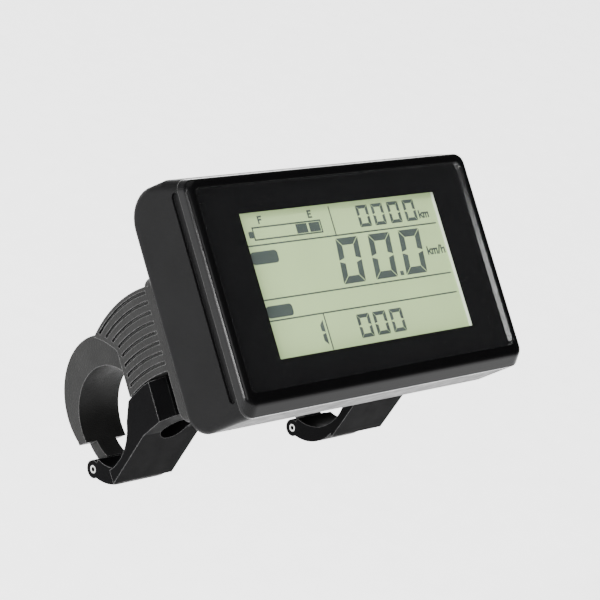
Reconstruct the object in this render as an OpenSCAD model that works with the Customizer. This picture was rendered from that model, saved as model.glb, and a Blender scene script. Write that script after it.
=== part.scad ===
// Handlebar display for an electric bicycle: a screen module on two hinged clamps.
// Most pieces are drawn in the screen's frame: x along the bar, y up along the
// screen, z out of the screen, from the bar's axis. It is tipped back by screen_tilt.

/* [Place on the bar] */
// Diameter of the handlebar
bar_d = 25.4; // [24:0.1:27]
// Lean of the screen, from lying level
screen_tilt = 45; // [20:1:80]
// From the bar to the back of the case, square to the screen
neck_len = 21.6; // [21:0.1:25]
// From the bar's axis to the middle of the screen, along the screen
rise = 15.7; // [15:0.1:18]

/* [Case] */
// Width of the rim beside the lens
rim_side = 2.5; // [2.3:0.1:5]
// Width of the rim above and below the lens
rim_end = 5.1; // [4.8:0.1:7]
// Room between the tallest piece on the board and the back of the case
back_room = 2.5; // [2:0.1:6]
// Thickness of the case walls
wall = 2.2; // [2:0.1:2.6]
// Radius of the case's corners, seen from the front
corner_r = 3; // [2.5:0.1:4]
// Rounding of the front rim and of the rear edges at the sides
edge_r = 1.6; // [0.8:0.1:2]
// How far the front rim's top lies below the top of the case
brow_drop = 2.4; // [1.5:0.1:2.6]
// Depth over which the top falls to the front rim
brow_len = 9; // [6:0.5:11]
// How far the front rim's foot lies above the bottom of the case
chin_drop = 1.5; // [0.8:0.1:1.6]
// Depth over which the bottom rises to the front rim
chin_len = 2.6; // [2:0.1:3.2]
// Radius of the rear edge along the top
rear_top_r = 8; // [5:0.5:9]
// Radius of the rear edge along the bottom
rear_low_r = 6; // [4:0.5:8]
// Width of the shallow slot in each side
slot_w = 2.35; // [1.5:0.05:2.6]
// From the end of that slot to the top or bottom of the case
slot_end = 4.3; // [4:0.1:9]
// Depth of the slot in each side
slot_depth = 0.7; // [0.4:0.05:0.9]

/* [Lens] */
// Thickness of the lens
lens_t = 1.5; // [1.2:0.1:2]
// Radius of the lens corners
lens_corner = 1.2; // [0.5:0.1:2]
// How far the lens lies below the rim
lens_sink = 0.3; // [0.1:0.1:0.4]
// Thickness of the printed border behind the lens
film_t = 0.1; // [0.1:0.02:0.16]
// Thickness of the tape that holds the lens
tape_t = 0.2; // [0.15:0.05:0.3]
// Width of that tape and of the ledge under it, at the sides
ledge_w = 4.4; // [4:0.1:5]
// Width of that tape and of the ledge under it, above and below the screen
ledge_h = 2.6; // [2:0.1:2.8]

/* [Screen] */
// Width of the clear window
window_w = 66; // [60:0.5:67]
// Height of the clear window
window_h = 35; // [30:0.5:36]
// From the window's edge to the edge of the panel glass, at the sides
glass_side = 4; // [3:0.1:5]
// From the window's edge to a ledge with contacts, above and below
glass_end = 1.5; // [1.2:0.1:2.5]
// From the panel glass to the inner edge of the ledge around it, at the sides
opening_side = 3.6; // [3.4:0.1:5]
// How far that ledge covers the panel glass, above and below
glass_lap = 0.4; // [0.2:0.1:1]
// Thickness of the spacer between the border and the panel
spacer_t = 1.3; // [1:0.1:1.6]
// Thickness of one polariser
polariser_t = 0.2; // [0.15:0.05:0.3]
// Thickness of one panel glass
glass_t = 1.1; // [0.7:0.1:1.2]
// Height of the two ledges on the front glass that carry the contacts
contact_h = 3; // [2.6:0.1:3.5]
// Thickness of the light guide
guide_t = 2.5; // [2:0.1:3]
// Thickness of the diffuser and of the reflector
sheet_t = 0.2; // [0.15:0.05:0.3]

/* [Main board] */
// From the side of the main board to the case's wall
board_side = 1.3; // [0.5:0.1:2]
// From the top or bottom of the main board to the case's wall
board_end = 3.1; // [2:0.1:4]
// Thickness of the main board
board_t = 1.6; // [1:0.1:1.6]
// From the middle of the board up or down to a board screw
board_screw_y = 10.5; // [6:0.5:11]
// Height of the capacitors, the tallest pieces on the board
capacitor_h = 7; // [6:0.1:9]

/* [Arms] */
// From the side of the case to the outer side of an arm
arm_inset = 1; // [0.5:0.1:1.5]
// Width of an arm at the case
block_w = 18.6; // [17:0.1:20]
// Width of a clamp ring
ring_w = 12.7; // [12:0.1:13.5]
// Wall of the ring around the bar
ring_wall = 2.9; // [2.4:0.1:3.2]
// How far the crown of the ring is raised
crown_rise = 4.2; // [3.5:0.1:5]
// Wall of the crown about its own middle
crown_wall = 3.6; // [3:0.1:4]
// Thickness of the flange against the case
flange_t = 2.7; // [2.2:0.1:3]
// Top of the flange above the middle of the screen
flange_top = 10.5; // [10:0.1:12]
// From the bottom of the case up to the flange's foot
flange_inset = 4.6; // [4:0.1:5.5]
// Underside of the ribbed block above the bar's axis, where it is highest
split_rise = 3.9; // [3.4:0.1:4.6]
// Radius of the block's crest and of its grooves
crest_r = 36; // [30:0.5:42]
// Distance between two grooves
groove_pitch = 2.45; // [2.2:0.05:2.5]
// Width of a groove
groove_w = 0.8; // [0.5:0.05:1.2]
// Depth of a groove
groove_depth = 0.8; // [0.5:0.05:1.2]

/* [Straps] */
// Wall of the strap under the bar
strap_wall = 2; // [1.8:0.1:2.4]
// How far the strap's sloping underside stands off that wall
slope_step = 0.2; // [0.1:0.05:0.4]
// Slope of the strap's underside
tongue_slope = 27; // [25:0.5:29]
// From the bolt's foot to the front of the strap's column
column_depth = 8.5; // [8:0.1:9]
// Width of the bevels on the column's front corners
bevel_w = 3.8; // [1:0.1:4.5]
// Depth of those bevels
bevel_d = 2.1; // [1:0.1:2.5]
// From the bore to the hinge pin
hinge_out = 3.4; // [3.3:0.05:3.8]
// Angle of the hinge below the level line behind the bar
hinge_angle = 39; // [37:0.5:41]
// Radius of the hinge's ears and knuckle
ear_r = 2.3; // [2.1:0.05:2.5]
// Width of the hinge's knuckle
knuckle_w = 6.1; // [5:0.1:7]
// Diameter of the hinge pin
pin_d = 2; // [1.8:0.05:2.2]
// Bore of the hollow hinge pin
pin_bore_d = 1.2; // [0.8:0.05:1.3]

/* [Clamp bolts] */
// Wall between the bar and a threaded insert
insert_wall = 0.6; // [0.5:0.05:1]
// Lean of a clamp bolt towards the bar
bolt_lean = 12; // [10:0.5:14]
// Outer diameter of the bolt's thread, which is the insert's bore
thread_d = 5; // [4.5:0.05:5.5]
// Depth of the thread, with its play
thread_depth = 0.45; // [0.4:0.01:0.6]
// Step down from the thread to the bolt's pilot tip
tip_step = 0.85; // [0.8:0.01:1]
// Diameter of the bolt's head
head_d = 7.8; // [7:0.1:8]
// Height of the bolt's head
head_h = 2.4; // [2:0.1:2.8]
// Width of the hexagon socket in the head
socket_w = 4; // [3:0.1:4.2]
// Length of the threaded insert
insert_len = 5; // [4:0.1:6]
// Wall of the threaded insert
insert_shell = 0.5; // [0.4:0.05:0.7]

/* [Hidden] */

// Faces on a full circle, and on the rounding of the case
$fn = 64;
blend_fn = 32;
// Overrun of a cut past the face that it opens
over = 1;
// Longer than any piece, for half spaces
far = 200;

// Clearances: a sliding fit, a running fit, parts that pass, and the split of a clamp
slip = 0.1;
run_fit = 0.05;
part_gap = 0.35;
split_gap = 0.3;

// Widths and heights, from the window out to the case
glass_w = window_w + 2 * glass_side;
glass_h = window_h + 2 * (glass_end + contact_h);
opening_w = glass_w + 2 * opening_side;
opening_h = glass_h - 2 * glass_lap;
lens_w = opening_w + 2 * ledge_w;
lens_h = opening_h + 2 * ledge_h;
case_w = lens_w + 2 * rim_side;
case_h = lens_h + 2 * rim_end;
board_w = case_w - 2 * (wall + board_side);
board_h = case_h - 2 * (wall + board_end);
slot_len = case_h - 2 * slot_end;

// Levels in the case, from the bar's axis outwards
bar_r = bar_d / 2;
back_z = bar_r + neck_len;
panel_d = 2 * (polariser_t + glass_t);
case_d = wall + back_room + capacitor_h + board_t + guide_t + 2 * sheet_t
    + panel_d + spacer_t + film_t + lens_t + lens_sink;
front_z = back_z + case_d;
lens_front = front_z - lens_sink;
lens_back = lens_front - lens_t;
border_back = lens_back - film_t;
tape_back = border_back - tape_t;
panel_front = border_back - spacer_t;
glass_front = panel_front - polariser_t;
glass_seam = glass_front - glass_t;
glass_back = glass_seam - glass_t;
diffuser_front = glass_back - polariser_t;
guide_front = diffuser_front - sheet_t;
guide_back = guide_front - guide_t;
board_front = guide_back - sheet_t;
board_back = board_front - board_t;
inner_back = back_z + wall;
// The front frame ends where the panel's front glass begins
parting_z = glass_front;
frame_d = front_z - parting_z;

// Outline of the case at the parting plane, from the middle of the screen
half_w = case_w / 2;
half_h = case_h / 2;
least_r = 0.3;
brow_run = max(brow_len - edge_r, least_r);
parting_top = half_h - brow_drop * max(brow_len - frame_d, 0) / brow_run;
parting_h = parting_top + half_h;
parting_mid = (parting_top - half_h) / 2;
slot_z = parting_z - slot_w / 2 - slip;

// Seal in its groove in the rim of the rear case
seal_land = 0.3;
seal_out = slot_depth + seal_land;
seal_w = wall - seal_out - seal_land;
seal_d = 0.8;

// Sheets behind the lens
window_lip = 0.5;
panel_seat = 2;
panel_w = glass_w - 2 * panel_seat;
polariser_h = glass_h - 2 * panel_seat;
panel_h = glass_h - 2 * contact_h;
holder_wall = 1.7;
holder_w = glass_w + 2 * slip + 2 * holder_wall;
holder_h = glass_h + 2 * slip + 2 * holder_wall;
strip_land = 0.5;
strip_h = contact_h - 2 * strip_land;
strip_y = (glass_h - contact_h) / 2;
strip_w = panel_w - 4 * panel_seat;
lamp_t = 1.2;
lamp_w = 3;
lamp_pitch = 12;

// Screws of the case, and the posts and columns that they pass through
case_screw_inset = 4.3;
case_screw_edge = 8.8;
case_screw_x = half_w - wall - case_screw_inset;
case_screw_y = half_h - case_screw_edge;
case_screw_d = 2.4;
case_screw_head_d = 4.5;
case_screw_head_h = 1.6;
screw_pocket = 6;
column_r = 3.7;
post_r = 2.6;
post_len = 5.4;
post_z = parting_z - post_len;
screw_grip = 4;
screw_room = 0.6;
drive_share = 0.5;
drive_depth_share = 0.6;

// Screws of the main board, and their posts on the front frame
board_post_r = 2.2;
board_screw_d = 1.8;
board_screw_head_d = 3.6;
board_screw_head_h = 1.3;
board_screw_x = holder_w / 2 + part_gap + board_post_r;

// Screws that hold the arms, from inside the case
arm_screw_d = 2.8;
arm_screw_head_d = 5.4;
arm_screw_head_h = 1.3;
arm_screw_high = 4.5;
arm_screw_low = 7;
arm_grip = 8;

// Pieces on the back of the main board, from its middle
controller_w = 10;
controller_t = 1.4;
controller_x = -14;
controller_y = 5;
driver_w = 12;
driver_h = 5;
driver_t = 1.1;
driver_x = 8;
driver_y = 13;
capacitor_d = 6.3;
capacitor_x = 26;
capacitor_pitch = 9;
crystal_w = 11;
crystal_h = 4.6;
crystal_t = 3.4;
crystal_x = -14;
crystal_y = -8;
socket_block_w = 12;
socket_block_h = 6;
socket_block_t = 6.6;
socket_block_x = 13;
socket_block_y = -14;
socket_wall = 0.8;

// Gland for the lead, in the back of the case
gland_drop = 16;
gland_bore_d = 5;
gland_r = 3.7;
gland_lip_r = 5;
gland_lip_t = 1.2;

// Sizes of the arms, in side view
arm_out = half_w - arm_inset;
arm_in = arm_out - block_w;
block_mid = arm_out - block_w / 2;
ring_mid = arm_in + ring_w / 2;
flange_z = back_z - flange_t;
flange_corner = 3;
crest_step = 1.8;
crest_back = 5.8;
crest_y = rise + flange_top - crest_step;
block_h = crest_y - split_rise;
flange_foot = half_h - flange_inset;
crest_z = back_z - crest_back;
crown_back = 0.5;
block_wall = 3.2;
block_crown_wall = 7.8;
block_rear = bar_r + block_wall;
block_crown_r = bar_r + block_crown_wall;
groove_first = 1.3;
groove_end = 1.2;
groove_n = floor((block_h - groove_first - groove_w) / groove_pitch) + 1;
ring_end = 3.4;

// Hinge and bolt: a line from the hinge pin meets the bolt's axis squarely at its foot
insert_d = thread_d + 2 * insert_shell;
bolt_d = thread_d - 2 * thread_depth;
tip_d = thread_d - 2 * tip_step;
bolt_out = insert_d / 2 + insert_wall;
hinge_r = bar_r + hinge_out;
hinge_y = -hinge_r * sin(hinge_angle);
hinge_z = -hinge_r * cos(hinge_angle);
foot_len = bar_r + bolt_out - hinge_y * sin(bolt_lean) - hinge_z * cos(bolt_lean);
foot_y = hinge_y + foot_len * sin(bolt_lean);
foot_z = hinge_z + foot_len * cos(bolt_lean);
ear_w = (ring_w - knuckle_w) / 2 - part_gap;

// From the bolt's foot up its axis to the block's underside, where the clamp is split
split_y = foot_y - crest_y + crest_r + block_h;
split_z = foot_z - crest_z;
split_run = split_y * cos(bolt_lean) - split_z * sin(bolt_lean);
split_level = sqrt(split_run * split_run - split_y * split_y - split_z * split_z + crest_r * crest_r)
    - split_run;

// Bolt, insert and the seat in the strap, as heights along the bolt
insert_sink = 1;
insert_level = split_level + insert_sink;
thread_grip = 1.6;
tip_len = 1.8;
tip_room = 1;
seat_floor = 4.2;
seat_level = split_level - split_gap - seat_floor;
head_foot = seat_level - split_gap - head_h;
thread_end = insert_level + thread_grip;
head_room_r = head_d / 2 + split_gap;
bolt_slack = 0.25;
socket_depth_share = 0.6;

// Strap: its heel under the hinge, and its column with the bolt
heel_shift = 4.2;
heel_wall = 0.6;
column_rear = 1.1;
column_front = foot_z + column_depth;
relief_drop = 3.5;
relief_lean = 31.5;
relief_z = sqrt(bar_r * bar_r - relief_drop * relief_drop);
tongue_wall = strap_wall + slope_step;
// The underside turns flatter here, on its way to the front
turn_back = 0.5;
turn_z = foot_z - turn_back;
turn_y = (turn_z * sin(tongue_slope) - bar_r - tongue_wall) / cos(tongue_slope);
front_slope = 13;

// Places: the bar's axis, and the middle of the screen above it
module on_bar() {
    rotate([screen_tilt, 0, 0]) children();
}

module in_case() {
    on_bar() translate([0, rise, 0]) children();
}

// Both sides of the middle
module both_sides() {
    children();
    mirror([1, 0, 0]) children();
}

// The same at four places about the middle
module four(x, y) {
    for (side = [-1, 1])
        for (end = [-1, 1])
            translate([side * x, end * y, 0]) children();
}

// Flat block about the middle, from one level up to another
module sheet(w, h, low, high) {
    translate([-w / 2, -h / 2, low]) cube([w, h, high - low]);
}

// Rectangle with round corners, from arcs and straight lines
module rounded(w, h, r) {
    square([w - 2 * r, h], center = true);
    square([w, h - 2 * r], center = true);
    for (side = [-1, 1])
        for (end = [-1, 1])
            translate([side * (w / 2 - r), end * (h / 2 - r)]) circle(r = r);
}

// The same as a plate between two levels
module slab(w, h, r, low, high) {
    translate([0, 0, low]) linear_extrude(high - low) rounded(w, h, r);
}

// Slot with round ends
module stadium(length, w) {
    square([length - w, w], center = true);
    for (end = [-1, 1])
        translate([end * (length - w) / 2, 0]) circle(d = w);
}

// Outline in side view (up the screen, out of the screen), drawn out along the bar
module side_view(x, w) {
    translate([x, 0, 0]) rotate([90, 0, 90]) linear_extrude(w) children();
}

// Screw from the seat of its head up, with a hexagon socket
module screw(d, length, cap_d, cap_h) {
    difference() {
        union() {
            translate([0, 0, -cap_h]) cylinder(d = cap_d, h = cap_h);
            cylinder(d = d, h = length);
        }
        translate([0, 0, -cap_h - over])
            cylinder(d = cap_d * drive_share, h = over + cap_h * drive_depth_share, $fn = 6);
    }
}

// Disc with a round edge
module puck(r, e) {
    rotate_extrude($fn = blend_fn) intersection() {
        translate([r - e, 0]) circle(r = e, $fn = blend_fn);
        translate([0, -e]) square([r, 2 * e]);
    }
}

// Closed outer form of the case, or the same form drawn in by a wall
module case_form(inset) {
    corner = max(corner_r - inset, 2 * least_r);
    edge = max(edge_r - inset, least_r);
    hull() {
        for (side = [-1, 1]) {
            // Front rim
            for (y = [half_h - brow_drop - corner_r, chin_drop + corner_r - half_h])
                translate([side * (half_w - corner_r), y, front_z - edge_r]) puck(corner, edge);
            // Full height, behind the brow and the chin
            translate([side * (half_w - corner_r), half_h - corner_r, front_z - brow_len])
                cylinder(r = corner, h = least_r, $fn = blend_fn);
            translate([side * (half_w - corner_r), corner_r - half_h, front_z - chin_len - least_r])
                cylinder(r = corner, h = least_r, $fn = blend_fn);
            // Long round edges at the back
            translate([side * (half_w - inset - edge), half_h - rear_top_r, back_z + rear_top_r])
                rotate([0, 90, 0]) puck(rear_top_r - inset, edge);
            translate([side * (half_w - inset - edge), rear_low_r - half_h, back_z + rear_low_r])
                rotate([0, 90, 0]) puck(rear_low_r - inset, edge);
        }
    }
}

// Everything on one side of the parting plane
module before_parting() {
    sheet(far, far, parting_z, parting_z + far);
}

module behind_parting() {
    sheet(far, far, parting_z - far, parting_z);
}

module front_frame() {
    color("black") in_case() difference() {
        union() {
            intersection() {
                case_form(0);
                before_parting();
            }
            four(case_screw_x, case_screw_y)
                translate([0, 0, post_z]) cylinder(r = post_r, h = post_len + over);
            four(board_screw_x, board_screw_y)
                translate([0, 0, board_front])
                    cylinder(r = board_post_r, h = parting_z - board_front + over);
        }
        slab(lens_w + 2 * slip, lens_h + 2 * slip, lens_corner + slip, tape_back, front_z + over);
        sheet(opening_w, opening_h, parting_z, front_z);
        four(case_screw_x, case_screw_y)
            translate([0, 0, post_z - over])
                cylinder(r = case_screw_d / 2 + run_fit, h = over + screw_grip + screw_room);
        four(board_screw_x, board_screw_y)
            translate([0, 0, board_front - over])
                cylinder(r = board_screw_d / 2 + run_fit, h = over + screw_grip + screw_room);
    }
}

module rear_case() {
    color("dimgray") in_case() difference() {
        union() {
            difference() {
                intersection() {
                    case_form(0);
                    behind_parting();
                }
                case_form(wall);
            }
            four(case_screw_x, case_screw_y)
                translate([0, 0, inner_back - wall / 2])
                    cylinder(r = column_r, h = post_z - inner_back + wall / 2);
        }
        // Groove for the seal
        difference() {
            seal_outline(0, parting_z - seal_d, parting_z + over);
            seal_outline(seal_w, parting_z - seal_d - over, parting_z + 2 * over);
        }
        // Slots in the sides
        both_sides()
            translate([0, 0, slot_z]) side_view(half_w - slot_depth, slot_depth + over)
                stadium(slot_len, slot_w);
        // Ways for the case screws, and sunk seats for the upper pair
        four(case_screw_x, case_screw_y)
            translate([0, 0, back_z - over]) cylinder(r = case_screw_d / 2 + slip, h = case_d);
        both_sides()
            translate([case_screw_x, case_screw_y, back_z - over])
                cylinder(r = case_screw_head_d / 2 + part_gap, h = over + screw_pocket);
        both_sides() arm_screw_places()
            translate([0, 0, back_z - over]) cylinder(r = arm_screw_d / 2 + slip, h = wall + 2 * over);
        translate([0, -gland_drop, back_z - over]) cylinder(r = gland_r + slip, h = wall + 2 * over);
    }
}

// Outline of the seal's groove, drawn in by a further inset
module seal_outline(inset, low, high) {
    step = seal_out + inset;
    translate([0, parting_mid, 0])
        slab(case_w - 2 * step, parting_h - 2 * step, max(corner_r - step, least_r), low, high);
}

module case_seal() {
    color("darkslategray") in_case() difference() {
        seal_outline(slip, parting_z - seal_d, parting_z);
        seal_outline(seal_w - slip, parting_z - seal_d - over, parting_z + over);
    }
}

module lens() {
    color("black", 0.4) in_case() slab(lens_w, lens_h, lens_corner, lens_back, lens_front);
}

module lens_border() {
    color("black") in_case() difference() {
        slab(lens_w, lens_h, lens_corner, border_back, lens_back);
        sheet(window_w, window_h, border_back - over, lens_back + over);
    }
}

module lens_tape() {
    color("darkslategray") in_case() difference() {
        slab(lens_w, lens_h, lens_corner, tape_back, border_back);
        sheet(opening_w, opening_h, tape_back - over, border_back + over);
    }
}

module light_spacer() {
    color("gainsboro") in_case() difference() {
        sheet(opening_w - 2 * slip, opening_h - 2 * slip, panel_front, border_back);
        sheet(window_w + 2 * window_lip, window_h + 2 * window_lip, panel_front - over, border_back + over);
    }
}

module front_polariser() {
    color("darkseagreen") in_case() sheet(panel_w, polariser_h, glass_front, panel_front);
}

module front_glass() {
    color("lightcyan", 0.5) in_case() sheet(glass_w, glass_h, glass_seam, glass_front);
}

module rear_glass() {
    color("lightcyan", 0.5) in_case() sheet(panel_w, panel_h, glass_back, glass_seam);
}

module rear_polariser() {
    color("darkseagreen") in_case() sheet(panel_w, panel_h, diffuser_front, glass_back);
}

module diffuser() {
    color("white") in_case() sheet(panel_w, panel_h, guide_front, diffuser_front);
}

module light_guide() {
    color("honeydew", 0.6) in_case() sheet(panel_w, panel_h, guide_back, guide_front);
}

module reflector() {
    color("whitesmoke") in_case() sheet(panel_w, panel_h, board_front, guide_back);
}

// Lamps in a row beside the light guide
module lamp_row(margin, high) {
    for (i = [-1:1])
        translate([-panel_w / 2 - slip - lamp_t / 2, i * lamp_pitch, 0])
            sheet(lamp_t + 2 * margin, lamp_w + 2 * margin, board_front, high);
}

module backlight_lamps() {
    color("khaki") in_case() lamp_row(0, guide_front);
}

// Room at the corners for round pieces at the case screws
module corner_room(r, low, high) {
    four(case_screw_x - r - part_gap + far / 2, case_screw_y - r - part_gap + far / 2)
        sheet(far, far, low, high);
}

module panel_holder() {
    color("white") in_case() difference() {
        sheet(holder_w, holder_h, board_front, parting_z);
        sheet(glass_w + 2 * slip, glass_h + 2 * slip, glass_seam, parting_z + over);
        sheet(panel_w + 2 * slip, panel_h + 2 * slip, board_front - over, parting_z);
        sheet(strip_w + 2 * slip, 2 * strip_y + strip_h + 2 * slip, board_front - over, parting_z);
        translate([0, 0, -over]) lamp_row(slip, guide_front + over + slip);
        corner_room(post_r, board_front - over, parting_z + over);
    }
}

module contact_strips() {
    color("slategray") in_case()
        for (end = [-1, 1])
            translate([0, end * strip_y, 0]) sheet(strip_w, strip_h, board_front, glass_seam);
}

module main_board() {
    color("darkgreen") in_case() difference() {
        sheet(board_w, board_h, board_back, board_front);
        corner_room(column_r, board_back - over, board_front + over);
        four(board_screw_x, board_screw_y)
            translate([0, 0, board_back - over])
                cylinder(r = board_screw_d / 2 + slip, h = board_t + 2 * over);
    }
}

// Block on the back of the main board
module on_board(x, y, w, h, t) {
    in_case() translate([x, y, 0]) sheet(w, h, board_back - t, board_back);
}

module controller_chip() {
    color("black") on_board(controller_x, controller_y, controller_w, controller_w, controller_t);
}

module driver_chip() {
    color("black") on_board(driver_x, driver_y, driver_w, driver_h, driver_t);
}

module clock_crystal() {
    color("silver") on_board(crystal_x, crystal_y, crystal_w, crystal_h, crystal_t);
}

module capacitors() {
    color("midnightblue") in_case()
        for (end = [-1, 1])
            translate([capacitor_x, end * capacitor_pitch / 2, board_back - capacitor_h])
                cylinder(d = capacitor_d, h = capacitor_h);
}

module lead_socket() {
    color("ivory") in_case() translate([socket_block_x, socket_block_y, 0]) difference() {
        sheet(socket_block_w, socket_block_h, board_back - socket_block_t, board_back);
        sheet(socket_block_w - 2 * socket_wall, socket_block_h - 2 * socket_wall,
            board_back - socket_block_t - over, board_back - socket_wall);
    }
}

module board_screws() {
    color("silver") in_case() four(board_screw_x, board_screw_y)
        translate([0, 0, board_back])
            screw(board_screw_d, board_t + screw_grip, board_screw_head_d, board_screw_head_h);
}

module case_screws() {
    seat = back_z + screw_pocket;
    color("dimgray") in_case() both_sides()
        translate([case_screw_x, case_screw_y, seat])
            screw(case_screw_d, post_z + screw_grip - seat, case_screw_head_d, case_screw_head_h);
}

module flange_screws() {
    color("dimgray") in_case() both_sides()
        translate([case_screw_x, -case_screw_y, flange_z])
            screw(case_screw_d, post_z + screw_grip - flange_z, case_screw_head_d, case_screw_head_h);
}

// Places of the arm screws on one side, from the middle of the screen
module arm_screw_places() {
    for (y = [arm_screw_high, -arm_screw_low])
        translate([block_mid, y, 0]) children();
}

module arm_screws() {
    color("silver") in_case() both_sides() arm_screw_places()
        translate([0, 0, inner_back]) rotate([180, 0, 0])
            screw(arm_screw_d, wall + arm_grip, arm_screw_head_d, arm_screw_head_h);
}

module cable_gland() {
    color("black") in_case() translate([0, -gland_drop, 0]) difference() {
        union() {
            translate([0, 0, back_z - gland_lip_t]) cylinder(r = gland_lip_r, h = gland_lip_t);
            translate([0, 0, back_z - gland_lip_t]) cylinder(r = gland_r, h = wall + 2 * gland_lip_t);
            translate([0, 0, inner_back]) cylinder(r = gland_lip_r, h = gland_lip_t);
        }
        translate([0, 0, back_z - gland_lip_t - over])
            cylinder(d = gland_bore_d, h = wall + 2 * gland_lip_t + 2 * over);
    }
}

// Half plane above a line through the bar's axis and the hinge, moved down by a gap
module above_hinge(gap) {
    rotate(-hinge_angle) translate([-gap, -far]) square([far, 2 * far]);
}

// Disc whose edge is the block's crest, lowered by a drop
module crest_disc(drop) {
    translate([crest_y - crest_r - drop, crest_z]) circle(r = crest_r);
}

// What lies below the clamp's split in front of the bar, lowered by a gap
module below_split(gap) {
    crest_disc(block_h + gap);
    translate([-far - gap, 0]) square([far, far]);
}

// The block between its crest and its underside, from the bar's axis to the flange
module block_outline() {
    intersection() {
        difference() {
            crest_disc(0);
            crest_disc(block_h);
        }
        translate([-far / 2, 0]) square([far, flange_z + flange_t / 2]);
    }
}

// What the rear of the block leaves free, with a margin
module block_rear_room(margin) {
    intersection() {
        circle(r = block_crown_r + margin);
        translate([-far / 2, -far]) square([far, far + block_rear + margin]);
    }
}

// Grooves along the sides of the block
module groove_lines() {
    intersection() {
        for (i = [0:groove_n - 1])
            difference() {
                crest_disc(groove_first + i * groove_pitch - groove_w / 2);
                crest_disc(groove_first + i * groove_pitch + groove_w / 2);
            }
        difference() {
            translate([-far / 2, 0]) square([far, flange_z]);
            block_rear_room(groove_end);
        }
    }
}

// Frame of the bolt: z up along its axis from its foot, y towards the hinge
module at_bolt() {
    translate([block_mid, foot_y, foot_z]) rotate([-90 - bolt_lean, 0, 0]) children();
}

module flange() {
    flange_h = flange_top + flange_foot;
    translate([block_mid, rise + flange_top - flange_h / 2, 0])
        slab(block_w, flange_h, flange_corner, flange_z, back_z);
}

// Upper half of the clamp ring, without its bore
module ring_outline() {
    difference() {
        union() {
            circle(r = bar_r + ring_wall);
            translate([crown_rise, -crown_back]) circle(r = bar_r + crown_wall);
            block_outline();
        }
        translate([-far - ring_end, -far]) square([far, far]);
    }
}

// Neck and knuckle that reach down to the hinge pin
module knuckle_outline() {
    intersection() {
        circle(r = bar_r + ring_wall);
        above_hinge(0);
        translate([-far, -far]) square([far, far]);
    }
    translate([hinge_y, hinge_z]) circle(r = ear_r);
}

module arm() {
    difference() {
        union() {
            flange();
            side_view(arm_in, block_w) difference() {
                block_outline();
                block_rear_room(0);
            }
            side_view(arm_in, ring_w) ring_outline();
            side_view(ring_mid - knuckle_w / 2, knuckle_w) knuckle_outline();
        }
        translate([arm_in - over, 0, 0]) rotate([0, 90, 0]) cylinder(r = bar_r, h = block_w + 2 * over);
        side_view(arm_in - over, block_w + 2 * over) intersection() {
            below_split(0);
            translate([-far, 0]) square([2 * far, flange_z]);
        }
        side_view(arm_in - over, groove_depth + over) groove_lines();
        side_view(arm_out - groove_depth, groove_depth + over) groove_lines();
        translate([ring_mid, hinge_y, hinge_z]) rotate([0, 90, 0])
            cylinder(r = pin_d / 2 + run_fit, h = ring_w, center = true);
        at_bolt() {
            translate([0, 0, split_level - over])
                cylinder(d = insert_d, h = over + insert_sink + insert_len);
            translate([0, 0, insert_level]) cylinder(d = thread_d, h = insert_len + tip_room);
        }
        translate([case_screw_x, rise - case_screw_y, flange_z - over])
            cylinder(r = case_screw_d / 2 + slip, h = flange_t + 2 * over);
        translate([0, rise, 0]) arm_screw_places()
            translate([0, 0, back_z - arm_grip - screw_room])
                cylinder(r = arm_screw_d / 2 + run_fit, h = arm_grip + screw_room + over);
    }
}

module insert() {
    at_bolt() translate([0, 0, insert_level]) difference() {
        cylinder(d = insert_d, h = insert_len);
        translate([0, 0, -over]) cylinder(d = thread_d, h = insert_len + 2 * over);
    }
}

// What lies above the strap's front half
module strap_split() {
    difference() {
        translate([-far, 0]) square([2 * far, far]);
        below_split(split_gap);
    }
}

// Column under the block, over an underside of two slopes
module column_outline() {
    intersection() {
        union() {
            rotate(-tongue_slope) translate([-bar_r - tongue_wall, -far]) square([far, 2 * far]);
            translate([turn_y, turn_z]) rotate(-front_slope) translate([0, -far]) square([far, 2 * far]);
        }
        translate([-far, column_rear]) square([2 * far, column_front - column_rear]);
    }
}

// Strap around the bar, below the hinge and the split
module strap_outline() {
    difference() {
        union() {
            circle(r = bar_r + strap_wall);
            rotate(-hinge_angle) translate([0, -heel_shift]) circle(r = bar_r + heel_wall);
            column_outline();
        }
        above_hinge(part_gap);
        strap_split();
        circle(r = bar_r);
    }
}

// Beside the ring only the column goes on, and its rear face leans away from the bar
module shoulder_outline() {
    difference() {
        column_outline();
        strap_split();
        circle(r = bar_r);
        translate([-relief_drop, relief_z]) rotate(relief_lean) translate([-over, -far]) square([far, far]);
    }
}

// Bevels on the column's front corners
module column_bevels() {
    translate([block_mid, 0, 0]) both_sides()
        translate([block_w / 2, far / 2, column_front - bevel_d]) rotate([90, 0, 0]) linear_extrude(far)
            rotate(atan2(bevel_d, -bevel_w)) translate([-far / 2, -far]) square([far, far]);
}

module strap() {
    difference() {
        union() {
            side_view(arm_in, ring_w) strap_outline();
            side_view(arm_in + ring_w, block_w - ring_w) shoulder_outline();
            for (end = [-1, 1])
                translate([ring_mid + end * (ring_w - ear_w) / 2, hinge_y, hinge_z]) rotate([0, 90, 0])
                    cylinder(r = ear_r, h = ear_w, center = true);
        }
        column_bevels();
        translate([ring_mid, hinge_y, hinge_z]) rotate([0, 90, 0]) {
            cylinder(r = ear_r + part_gap, h = knuckle_w + 2 * part_gap, center = true);
            cylinder(d = pin_d, h = ring_w + 2 * over, center = true);
        }
        at_bolt() {
            translate([0, 0, seat_level - over])
                cylinder(r = bolt_d / 2 + bolt_slack, h = seat_floor + 3 * over);
            translate([0, 0, seat_level - far]) cylinder(r = head_room_r, h = far);
        }
    }
}

module hinge_pin() {
    translate([ring_mid, hinge_y, hinge_z]) rotate([0, 90, 0]) difference() {
        cylinder(d = pin_d, h = ring_w, center = true);
        cylinder(d = pin_bore_d, h = ring_w + 2 * over, center = true);
    }
}

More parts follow.
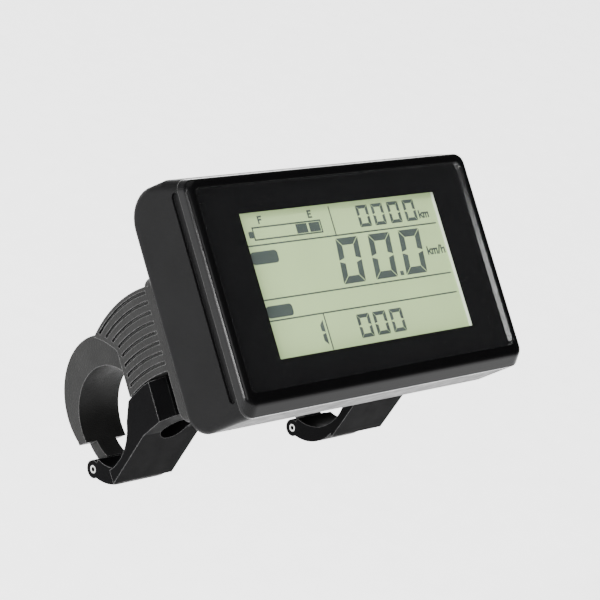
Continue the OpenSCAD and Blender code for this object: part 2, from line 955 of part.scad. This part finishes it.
module clamp_bolt() {
    at_bolt() difference() {
        translate([0, 0, head_foot]) {
            cylinder(d = head_d, h = head_h);
            cylinder(d = bolt_d, h = thread_end - head_foot);
            cylinder(d = tip_d, h = thread_end + tip_len - head_foot);
        }
        translate([0, 0, head_foot - over])
            cylinder(d = socket_w / cos(30), h = over + head_h * socket_depth_share, $fn = 6);
    }
}

// The clamps' pieces, right as drawn and left as their mirror image
module left() {
    on_bar() mirror([1, 0, 0]) children();
}

module right_arm() { color("dimgray") on_bar() arm(); }
module left_arm() { color("dimgray") left() arm(); }
module right_insert() { color("goldenrod") on_bar() insert(); }
module left_insert() { color("goldenrod") left() insert(); }
module right_strap() { color("darkslategray") on_bar() strap(); }
module left_strap() { color("darkslategray") left() strap(); }
module right_hinge_pin() { color("silver") on_bar() hinge_pin(); }
module left_hinge_pin() { color("silver") left() hinge_pin(); }
module right_clamp_bolt() { color("gray") on_bar() clamp_bolt(); }
module left_clamp_bolt() { color("gray") left() clamp_bolt(); }

front_frame();
rear_case();
case_seal();
lens();
lens_border();
lens_tape();
light_spacer();
front_polariser();
front_glass();
rear_glass();
rear_polariser();
diffuser();
light_guide();
reflector();
backlight_lamps();
panel_holder();
contact_strips();
main_board();
controller_chip();
driver_chip();
capacitors();
clock_crystal();
lead_socket();
board_screws();
case_screws();
flange_screws();
arm_screws();
cable_gland();
left_arm();
right_arm();
left_insert();
right_insert();
left_strap();
right_strap();
left_hinge_pin();
right_hinge_pin();
left_clamp_bolt();
right_clamp_bolt();
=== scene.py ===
import math

import bmesh
import bpy
from mathutils import Matrix, Vector


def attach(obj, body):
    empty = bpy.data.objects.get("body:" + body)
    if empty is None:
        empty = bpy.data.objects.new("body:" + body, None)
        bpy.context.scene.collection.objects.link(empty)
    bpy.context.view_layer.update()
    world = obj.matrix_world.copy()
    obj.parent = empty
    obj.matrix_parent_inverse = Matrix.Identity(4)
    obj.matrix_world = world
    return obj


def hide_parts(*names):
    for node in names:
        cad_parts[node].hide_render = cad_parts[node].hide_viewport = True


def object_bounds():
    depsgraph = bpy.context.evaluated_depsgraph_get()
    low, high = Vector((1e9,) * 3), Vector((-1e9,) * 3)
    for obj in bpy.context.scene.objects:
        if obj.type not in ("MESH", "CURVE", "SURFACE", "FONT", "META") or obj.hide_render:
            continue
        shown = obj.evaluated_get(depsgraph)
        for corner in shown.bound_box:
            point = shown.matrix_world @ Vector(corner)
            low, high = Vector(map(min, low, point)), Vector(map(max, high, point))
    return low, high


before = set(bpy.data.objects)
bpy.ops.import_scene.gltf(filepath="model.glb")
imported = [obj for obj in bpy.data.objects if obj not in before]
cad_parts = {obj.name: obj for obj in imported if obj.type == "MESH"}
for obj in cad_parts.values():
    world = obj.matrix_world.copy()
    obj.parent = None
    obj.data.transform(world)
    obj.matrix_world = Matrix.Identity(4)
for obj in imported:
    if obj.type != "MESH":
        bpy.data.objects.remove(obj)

CAD_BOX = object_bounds()
MM = 0.001

# The screen's own directions: x along the bar, u up the screen, n out of it. Places on the
# screen are in millimetres. TILT is its lean, and RISE its middle's u, seen from the bar.
TILT = math.radians(45)
RISE = 15.7
ON_BAR = Matrix.Rotation(TILT, 4, "X")


def screen(x, u, n):
    return ON_BAR @ (Vector((x, u + RISE, n)) * MM)


def add_object(name, data):
    made = bpy.data.objects.new(name, data)
    bpy.context.scene.collection.objects.link(made)
    return made


# Node trees. Most of a noise's values lie within its span.
NOISE_DETAIL = 3.0
NOISE_SPAN = (0.3, 0.7)


def fill(node, values):
    for key, value in values.items():
        node.inputs[key].default_value = value


class Graph:
    """A node tree, with short ways to add and join its nodes."""

    def __init__(self, tree):
        self.tree = tree

    def add(self, kind, **settings):
        node = self.tree.nodes.new(kind)
        for key, value in settings.items():
            setattr(node, key, value)
        return node

    def join(self, source, target):
        self.tree.links.new(source, target)

    def noise(self, where, size, detail=NOISE_DETAIL):
        node = self.add("ShaderNodeTexNoise")
        fill(node, {"Scale": 1 / (size * MM), "Detail": detail})
        self.join(where, node.inputs["Vector"])
        return node.outputs["Fac"]

    def ranged(self, value, low, high, span=NOISE_SPAN):
        node = self.add("ShaderNodeMapRange")
        fill(node, {"From Min": span[0], "From Max": span[1], "To Min": low, "To Max": high})
        self.join(value, node.inputs["Value"])
        return node.outputs["Result"]


# Camera, fitted to points of the part that the photograph shows
CAMERA_PLACE = (-0.3811, -0.34091, 0.25821)
CAMERA_RIGHT = Vector((0.71376, -0.65051, 0.25959))
CAMERA_UP = Vector((0.10988, 0.47005, 0.87578))
SENSOR_WIDTH = 36
FOCAL_LENGTH = 134.3
CLIP_START, CLIP_END = 0.01, 50


def make_camera():
    data = bpy.data.cameras.new("camera")
    data.sensor_width = SENSOR_WIDTH
    data.lens = FOCAL_LENGTH
    data.clip_start = CLIP_START
    data.clip_end = CLIP_END
    camera = add_object("camera", data)
    back = CAMERA_RIGHT.cross(CAMERA_UP)
    turn = Matrix((CAMERA_RIGHT, CAMERA_UP, back)).transposed().to_4x4()
    camera.matrix_world = Matrix.Translation(CAMERA_PLACE) @ turn
    bpy.context.scene.camera = camera


# Lights: name, place, target, size and power
LIGHTS = [
    ("overhead", (0.1, 0.6, 1.9), (0, 0.3, 0), (2.4, 2.0), 17),
    ("key", (-0.9, -0.75, 0.8), (0, 0, 0.03), (0.5, 0.5), 6),
    ("strip", (-0.9, -0.05, 0.4), (0, 0, 0.03), (0.05, 0.9), 14),
    ("left", (-1.3, 0.1, 0.1), (0, 0, 0), (0.5, 0.5), 8),
]
# Surroundings, by height: pale low down, dark above, so that black plastic stays black
SKY_STOPS = [(0.1, (1, 1, 1, 1)), (0.42, (0.09, 0.09, 0.092, 1))]
SKY_STRENGTH = 0.9
# Floor: half of its side, and its drop below the part
FLOOR_HALF = 6.0
FLOOR_DROP = 0.12


def make_lights():
    for name, place, target, size, power in LIGHTS:
        data = bpy.data.lights.new(name, "AREA")
        data.shape = "RECTANGLE"
        data.size, data.size_y = size
        data.energy = power
        lamp = add_object(name, data)
        lamp.location = place
        lamp.rotation_mode = "QUATERNION"
        lamp.rotation_quaternion = (Vector(target) - Vector(place)).to_track_quat("-Z", "Y")


def make_surroundings():
    world = bpy.data.worlds.new("surroundings")
    bpy.context.scene.world = world
    world.use_nodes = True
    graph = Graph(world.node_tree)
    where = graph.add("ShaderNodeTexCoord")
    split = graph.add("ShaderNodeSeparateXYZ")
    ramp = graph.add("ShaderNodeValToRGB")
    for element, (position, colour) in zip(ramp.color_ramp.elements, SKY_STOPS):
        element.position = position
        element.color = colour
    back = world.node_tree.nodes["Background"]
    fill(back, {"Strength": SKY_STRENGTH})
    graph.join(where.outputs["Generated"], split.inputs[0])
    graph.join(split.outputs["Z"], ramp.inputs[0])
    graph.join(ramp.outputs[0], back.inputs["Color"])


def make_floor():
    level = CAD_BOX[0].z - FLOOR_DROP
    corners = [(-1, -1), (1, -1), (1, 1), (-1, 1)]
    mesh = bpy.data.meshes.new("floor")
    mesh.from_pydata([(x * FLOOR_HALF, y * FLOOR_HALF, level) for x, y in corners],
                     [], [(0, 1, 2, 3)])
    mesh.materials.append(surface("floor_paint", (0.9, 0.9, 0.9), 0.6, grain=2, bump=0.02,
                                  blotch=0.02, edge=0, glow=3.2))
    floor = add_object("floor", mesh)


# Materials
GRAIN_DETAIL = 2.0
LEAST_ROUGH = 0.02
COAT_ROUGH = 0.06
# The patches of gloss are this share of the blotches' size, and the grain is this share of
# its own size deep
GLOSS_SHARE = 0.4
BUMP_SHARE = 0.5
BEVEL_SAMPLES = 4
# Painted highlight along edges: cosines between the flat and the softened normal, where an edge
# is painted lightest and not at all, the range of its patches, and how the lighter colour is made
# from the base
HIGHLIGHT_COSINES = (0.72, 0.99)
HIGHLIGHT_PATCHES = (0.4, 1)
HIGHLIGHT_GAIN, HIGHLIGHT_LIFT = 3, 0.18
ACRYLIC_IOR = 1.49
SMEAR_SIZE = 14
SMEAR_PLAY = 0.03


def start_material(name):
    made = bpy.data.materials.new(name)
    made.use_nodes = True
    return made, Graph(made.node_tree), made.node_tree.nodes["Principled BSDF"]


def painted_edge_highlight(graph, base, soft, fine, colour, edge_highlight):
    """The base colour, paler in patches along edges, as a painted highlight."""
    flat = graph.add("ShaderNodeNewGeometry")
    cosine = graph.add("ShaderNodeVectorMath", operation="DOT_PRODUCT")
    graph.join(flat.outputs["Normal"], cosine.inputs[0])
    graph.join(soft, cosine.inputs[1])
    highlit = graph.add("ShaderNodeMath", operation="MULTIPLY")
    graph.join(graph.ranged(cosine.outputs["Value"], edge_highlight, 0, HIGHLIGHT_COSINES), highlit.inputs[0])
    graph.join(graph.ranged(fine, *HIGHLIGHT_PATCHES), highlit.inputs[1])
    mix = graph.add("ShaderNodeMix", data_type="RGBA")
    fill(mix, {"B": (*(min(c * HIGHLIGHT_GAIN + HIGHLIGHT_LIFT, 1) for c in colour), 1)})
    graph.join(highlit.outputs[0], mix.inputs["Factor"])
    graph.join(base, mix.inputs["A"])
    return mix.outputs["Result"]


def surface(name, colour, rough, grain=0.3, bump=0.1, blotch=0.08, blotch_size=9, rough_play=0.06,
            edge=0.15, edge_highlight=0.0, metal=0.0, coat=0.0, specular=0.5, stretch=None, glow=0.0):
    """Moulded plastic, rubber or metal, with its sizes in millimetres.

    It has fine grain, uneven tone and gloss, and soft edges with patches of painted highlight.
    """
    made, graph, shader = start_material(name)
    fill(shader, {"Metallic": metal, "Coat Weight": coat, "Coat Roughness": COAT_ROUGH,
                  "Specular IOR Level": specular})
    where = graph.add("ShaderNodeTexCoord").outputs["Object"]

    tone = graph.noise(where, blotch_size)
    mix = graph.add("ShaderNodeMix", data_type="RGBA")
    fill(mix, {"A": (*(c * (1 - blotch) for c in colour), 1),
               "B": (*(min(c * (1 + blotch), 1) for c in colour), 1)})
    graph.join(graph.ranged(tone, 0, 1), mix.inputs["Factor"])
    base = mix.outputs["Result"]

    gloss = graph.noise(where, blotch_size * GLOSS_SHARE)
    graph.join(graph.ranged(gloss, max(rough - rough_play, LEAST_ROUGH), rough + rough_play),
               shader.inputs["Roughness"])

    grained = where
    if stretch:
        mapping = graph.add("ShaderNodeMapping")
        fill(mapping, {"Scale": stretch})
        graph.join(where, mapping.inputs["Vector"])
        grained = mapping.outputs["Vector"]
    fine = graph.noise(grained, grain, GRAIN_DETAIL)
    bumps = graph.add("ShaderNodeBump")
    fill(bumps, {"Strength": bump, "Distance": grain * MM * BUMP_SHARE})
    graph.join(fine, bumps.inputs["Height"])
    graph.join(bumps.outputs["Normal"], shader.inputs["Normal"])

    if edge:
        bevel = graph.add("ShaderNodeBevel", samples=BEVEL_SAMPLES)
        fill(bevel, {"Radius": edge * MM})
        soft = bevel.outputs["Normal"]
        graph.join(soft, bumps.inputs["Normal"])
        # Patches of painted highlight: a lighter colour along the softened edges
        if edge_highlight:
            base = painted_edge_highlight(graph, base, soft, fine, colour, edge_highlight)
    graph.join(base, shader.inputs["Base Color"])
    if glow:
        graph.join(base, shader.inputs["Emission Color"])
        fill(shader, {"Emission Strength": glow})
    return made


def clear(name, tint, rough=0.02):
    """Clear plastic or glass, unevenly smeared."""
    made, graph, shader = start_material(name)
    fill(shader, {"Base Color": (*tint, 1), "Transmission Weight": 1.0, "IOR": ACRYLIC_IOR})
    where = graph.add("ShaderNodeTexCoord").outputs["Object"]
    smear = graph.noise(where, SMEAR_SIZE)
    graph.join(graph.ranged(smear, rough, rough + SMEAR_PLAY), shader.inputs["Roughness"])
    return made


def make_materials():
    return {
        # The case, clamp, strap and steel materials get a painted highlight along their edges.
        "frame": surface("gloss_black", (0.003, 0.003, 0.0032), 0.14, grain=0.5, bump=0.02,
                         rough_play=0.03, edge=0.35, specular=0.1),
        "print": surface("border_print", (0.004, 0.004, 0.0045), 0.2, grain=0.4, bump=0.01,
                         rough_play=0.02, edge=0, specular=0.05),
        "case": surface("case_black", (0.005, 0.005, 0.0052), 0.34, grain=0.28, bump=0.12,
                        edge=0.25, edge_highlight=0.06, specular=0.03),
        "clamp": surface("clamp_grey", (0.01, 0.01, 0.0098), 0.4, grain=0.36, bump=0.6,
                         blotch=0.2, edge=0.34, edge_highlight=0.9, specular=0.06),
        "strap": surface("strap_black", (0.003, 0.003, 0.0032), 0.4, grain=0.3, bump=0.2,
                         edge=0.35, edge_highlight=1.0, specular=0.006),
        "rubber": surface("seal_rubber", (0.016, 0.016, 0.017), 0.7, grain=0.25, bump=0.35,
                          edge=0.1, specular=0.35),
        "panel": surface("panel_green", (0.5, 0.65, 0.32), 0.55, grain=0.12, bump=0.03,
                         blotch=0.025, blotch_size=16, edge=0, glow=0.16),
        "segment": surface("segment_grey", (0.06, 0.078, 0.074), 0.5, grain=0.1, bump=0.02,
                           blotch=0.05, edge=0),
        "pale": surface("pale_plastic", (0.6, 0.64, 0.56), 0.5, grain=0.2, bump=0.08, edge=0.08),
        "white": surface("white_film", (0.86, 0.87, 0.86), 0.45, grain=0.2, bump=0.03, edge=0.03),
        "board": surface("board_green", (0.012, 0.1, 0.038), 0.35, grain=0.6, bump=0.25,
                         blotch=0.2, blotch_size=3, edge=0.05, coat=0.3),
        "chip": surface("chip_black", (0.018, 0.018, 0.02), 0.55, grain=0.15, bump=0.2, edge=0.08),
        "can": surface("metal_can", (0.62, 0.63, 0.64), 0.28, grain=0.4, bump=0.08, edge=0.12,
                       metal=1, stretch=(1, 1, 6)),
        "zinc": surface("zinc_steel", (0.42, 0.42, 0.41), 0.3, grain=0.3, bump=0.14, blotch=0.18,
                        blotch_size=1.5, edge=0.12, metal=1),
        "steel": surface("black_steel", (0.035, 0.035, 0.037), 0.34, grain=0.25, bump=0.2,
                         edge=0.15, edge_highlight=0.5, metal=0.6),
        "brass": surface("insert_brass", (0.66, 0.47, 0.18), 0.26, grain=0.35, bump=0.2,
                         edge=0.1, metal=1, stretch=(8, 1, 1)),
        "lamp": surface("lamp_cap", (0.8, 0.74, 0.4), 0.4, grain=0.2, bump=0.05, edge=0.1),
        "lens": clear("clear_lens", (0.97, 0.985, 0.975)),
        "glass": clear("panel_glass", (0.9, 0.96, 0.9)),
        "guide": clear("guide_clear", (0.93, 0.97, 0.95), 0.08),
    }


# The CAD nodes that each material dresses
DRESS_PLAN = {
    "frame": ["front_frame"],
    "print": ["lens_border"],
    "case": ["rear_case"],
    "clamp": ["left_arm", "right_arm"],
    "strap": ["left_strap", "right_strap"],
    "rubber": ["case_seal", "lens_tape", "contact_strips", "cable_gland"],
    "panel": ["front_polariser", "rear_polariser"],
    "pale": ["light_spacer"],
    "white": ["diffuser", "reflector", "panel_holder", "lead_socket"],
    "board": ["main_board"],
    "chip": ["controller_chip", "driver_chip"],
    "can": ["capacitors", "clock_crystal"],
    "zinc": ["board_screws", "arm_screws", "left_hinge_pin", "right_hinge_pin"],
    "steel": ["case_screws", "flange_screws", "left_clamp_bolt", "right_clamp_bolt"],
    "brass": ["left_insert", "right_insert"],
    "lamp": ["backlight_lamps"],
    "lens": ["lens"],
    "glass": ["front_glass", "rear_glass"],
    "guide": ["light_guide"],
}


def dress_nodes(materials):
    for kind, names in DRESS_PLAN.items():
        for name in names:
            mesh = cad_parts[name].data
            mesh.materials.clear()
            mesh.materials.append(materials[kind])
    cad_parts["lens"].visible_shadow = False


# Printed border, with this share of its solid's thickness, so that it is clear of the lens
THIN_SHARE = 0.6


def make_border(material):
    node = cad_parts["lens_border"]
    mesh = node.data.copy()
    place = node.matrix_world
    outward = ON_BAR.to_3x3() @ Vector((0, 0, 1))
    levels = [(place @ vertex.co).dot(outward) for vertex in mesh.vertices]
    middle = (min(levels) + max(levels)) / 2
    for vertex, level in zip(mesh.vertices, levels):
        moved = place @ vertex.co + outward * (middle - level) * (1 - THIN_SHARE)
        vertex.co = place.inverted() @ moved
    mesh.materials.clear()
    mesh.materials.append(material)
    piece = add_object("border_print", mesh)
    piece.matrix_world = place
    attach(piece, "display")
    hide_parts("lens_border")


# Display: thin shapes a little above the front polariser, whose outer face is at FACE along
# n. They are placed from the fields' middle, which is off the screen's by the two shifts.
FACE = 53.1
SHAPE_FOOT, SHAPE_TOP = 0.015, 0.045
SHIFT_X, SHIFT_U = 2.3, 0.4
PILL_STEPS = 6

# Seven-bar figures: gap and inner mitre as shares of the bar's width and of half of it
GAP_SHARE = 0.09
MITRE_SHARE = 0.6
FIGURE_BARS = {"0": "abcdef", "1": "bc"}

# Signs: each letter's width and strokes, as shares of its height
LETTER_GAP = 0.26
LETTERS = {
    "k": (0.62, [[(0, 0), (0, 1)], [(0.6, 0.66), (0, 0.28)], [(0.22, 0.42), (0.62, 0)]]),
    "m": (0.95, [[(0, 0), (0, 0.66)], [(0, 0.6), (0.46, 0.66), (0.46, 0)],
                 [(0.46, 0.6), (0.95, 0.66), (0.95, 0)]]),
    "/": (0.42, [[(0, -0.05), (0.42, 1.05)]]),
    "h": (0.56, [[(0, 0), (0, 1)], [(0, 0.58), (0.56, 0.64), (0.56, 0)]]),
    "E": (0.6, [[(0.6, 0), (0, 0), (0, 1), (0.6, 1)], [(0, 0.52), (0.5, 0.52)]]),
    "F": (0.6, [[(0, 0), (0, 1), (0.6, 1)], [(0, 0.52), (0.5, 0.52)]]),
}


class Plate:
    """Thin flat shapes that share one mesh."""

    def __init__(self):
        self.bm = bmesh.new()

    def shape(self, outline):
        ring = [(x + SHIFT_X, u + SHIFT_U) for x, u in outline]
        if sum(a[0] * b[1] - b[0] * a[1] for a, b in zip(ring, ring[1:] + ring[:1])) < 0:
            ring.reverse()
        low = [self.bm.verts.new(screen(x, u, FACE + SHAPE_FOOT)) for x, u in ring]
        high = [self.bm.verts.new(screen(x, u, FACE + SHAPE_TOP)) for x, u in ring]
        self.bm.faces.new(high)
        self.bm.faces.new(low[::-1])
        for i in range(len(ring)):
            j = (i + 1) % len(ring)
            self.bm.faces.new((low[i], low[j], high[j], high[i]))

    def bar(self, x0, u0, x1, u1):
        self.shape([(x0, u0), (x1, u0), (x1, u1), (x0, u1)])

    def line(self, a, b, width):
        a, b = Vector(a), Vector(b)
        along = (b - a).normalized() * width / 2
        side = Vector((-along.y, along.x))
        self.shape([a - along - side, b + along - side, b + along + side, a - along + side])

    def pill(self, x0, u0, x1, u1, r):
        corners = [(x1 - r, u1 - r), (x0 + r, u1 - r), (x0 + r, u0 + r), (x1 - r, u0 + r)]
        ring = []
        for turn, (cx, cu) in enumerate(corners):
            for i in range(PILL_STEPS + 1):
                angle = (turn + i / PILL_STEPS) * math.pi / 2
                ring.append((cx + r * math.cos(angle), cu + r * math.sin(angle)))
        self.shape(ring)

    def box_line(self, x0, u0, x1, u1, width):
        self.bar(x0, u0, x1, u0 + width)
        self.bar(x0, u1 - width, x1, u1)
        self.bar(x0, u0 + width, x0 + width, u1 - width)
        self.bar(x1 - width, u0 + width, x1, u1 - width)

    def digit(self, figure, x0, u0, x1, u1, width, slant=0.0):
        """Seven-bar figure inside a box. Its bars have mitred ends and narrow gaps."""
        x1 -= slant * (u1 - u0)
        gap = width * GAP_SHARE
        half = width / 2
        mid = (u0 + u1) / 2
        top = [(x0 + gap, u1), (x1 - gap, u1),
               (x1 - width - gap, u1 - width), (x0 + width + gap, u1 - width)]
        side = [(x0, u1 - gap), (x0, mid + gap),
                (x0 + width, mid + half * MITRE_SHARE + gap), (x0 + width, u1 - width - gap)]
        across = [(x0 + x1 - x, u) for x, u in side]

        def down(ring):
            return [(x, u0 + u1 - u) for x, u in ring]

        bars = {"a": top, "b": across, "c": down(across),
                "d": down(top), "e": down(side), "f": side}
        for key in FIGURE_BARS[figure]:
            self.shape([(x + slant * (u - u0), u) for x, u in bars[key]])

    def digits(self, figure, spans, u0, u1, width, slant=0.0):
        for x0, x1 in spans:
            self.digit(figure, x0, u0, x1, u1, width, slant)

    def sign(self, text, x0, u0, height, width):
        """Unit signs and gauge ends, in plain strokes."""
        x = x0
        for letter in text:
            wide, strokes = LETTERS[letter]
            for points in strokes:
                placed = [(x + px * height, u0 + pu * height) for px, pu in points]
                for a, b in zip(placed, placed[1:]):
                    self.line(a, b, width)
            x += (wide + LETTER_GAP) * height

    def finish(self, name, material):
        mesh = bpy.data.meshes.new(name)
        self.bm.to_mesh(mesh)
        self.bm.free()
        mesh.materials.append(material)
        piece = add_object(name, mesh)
        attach(piece, "display")


# Layout of the display: the fields' edges, and the widths of lines and strokes
FIELD_LEFT, FIELD_RIGHT = -34.3, 30.2
LINE = 0.34
STROKE = 0.42
GAUGE_X, GAUGE_U = (-31.5, -9.1), (10.6, 13.9)
GAUGE_WALL = 0.35
CELL_U = (11.1, 13.4)
END_U, END_HEIGHT = 14.7, 1.55
PLATE_LEFT, PLATE_R = -34.2, 0.9


def make_gauge(material):
    gauge = Plate()
    gauge.pill(-32.9, 11.3, GAUGE_X[0], 12.9, 0.3)
    gauge.box_line(GAUGE_X[0], GAUGE_U[0], GAUGE_X[1], GAUGE_U[1], GAUGE_WALL)
    for x0, x1 in ((-17.5, -13.9), (-13.2, -9.7)):
        gauge.bar(x0, CELL_U[0], x1, CELL_U[1])
    for letter, x in (("F", -28.7), ("E", -12.5)):
        gauge.sign(letter, x, END_U, END_HEIGHT, STROKE)
    gauge.finish("battery_gauge", material)


def make_dividers(material):
    lines = Plate()
    for u in (9.3, -3.75, -8.8):
        lines.bar(FIELD_LEFT, u, FIELD_RIGHT, u + LINE)
    for x, u0, u1 in ((-5.4, 9.6, 16.8), (-17, -17.6, -8.6)):
        lines.bar(x, u0, x + LINE, u1)
    lines.finish("field_dividers", material)


def make_plates(material):
    """Blank name plates of two fields."""
    plates = Plate()
    for u0, x1, u1 in ((4.9, -25.7, 8.0), (-8.0, -25.9, -5.1)):
        plates.pill(PLATE_LEFT, u0, x1, u1, PLATE_R)
    plates.finish("field_plates", material)


def make_figures(material):
    """Distance, speed with its point, assist level and power."""
    figures = Plate()
    figures.digits("0", ((3.7, 7.7), (9.0, 13.0), (14.6, 18.6), (20.2, 24.2)), 10.7, 16.2, 0.88)
    figures.digits("0", ((-7.3, 1.5), (3.8, 12.7), (14.5, 23.3)), -2.6, 8.7, 1.8, slant=0.12)
    figures.bar(12.5, -2.5, 13.7, -1.4)
    figures.digit("1", -21.9, -16.4, -17.7, -10.1, 1.15)
    figures.digits("0", ((-6.5, -2.2), (-1.0, 3.4), (4.7, 9.1)), -16.1, -10.3, 0.95)
    figures.finish("figures", material)


def make_units(material):
    units = Plate()
    units.sign("km", 25.1, 11.3, 1.7, STROKE)
    units.sign("km/h", 24.3, 1.8, 1.8, STROKE)
    units.finish("unit_signs", material)


make_camera()
materials = make_materials()
make_lights()
make_surroundings()
make_floor()
dress_nodes(materials)
make_border(materials["print"])
for make in (make_gauge, make_dividers, make_plates, make_figures, make_units):
    make(materials["segment"])
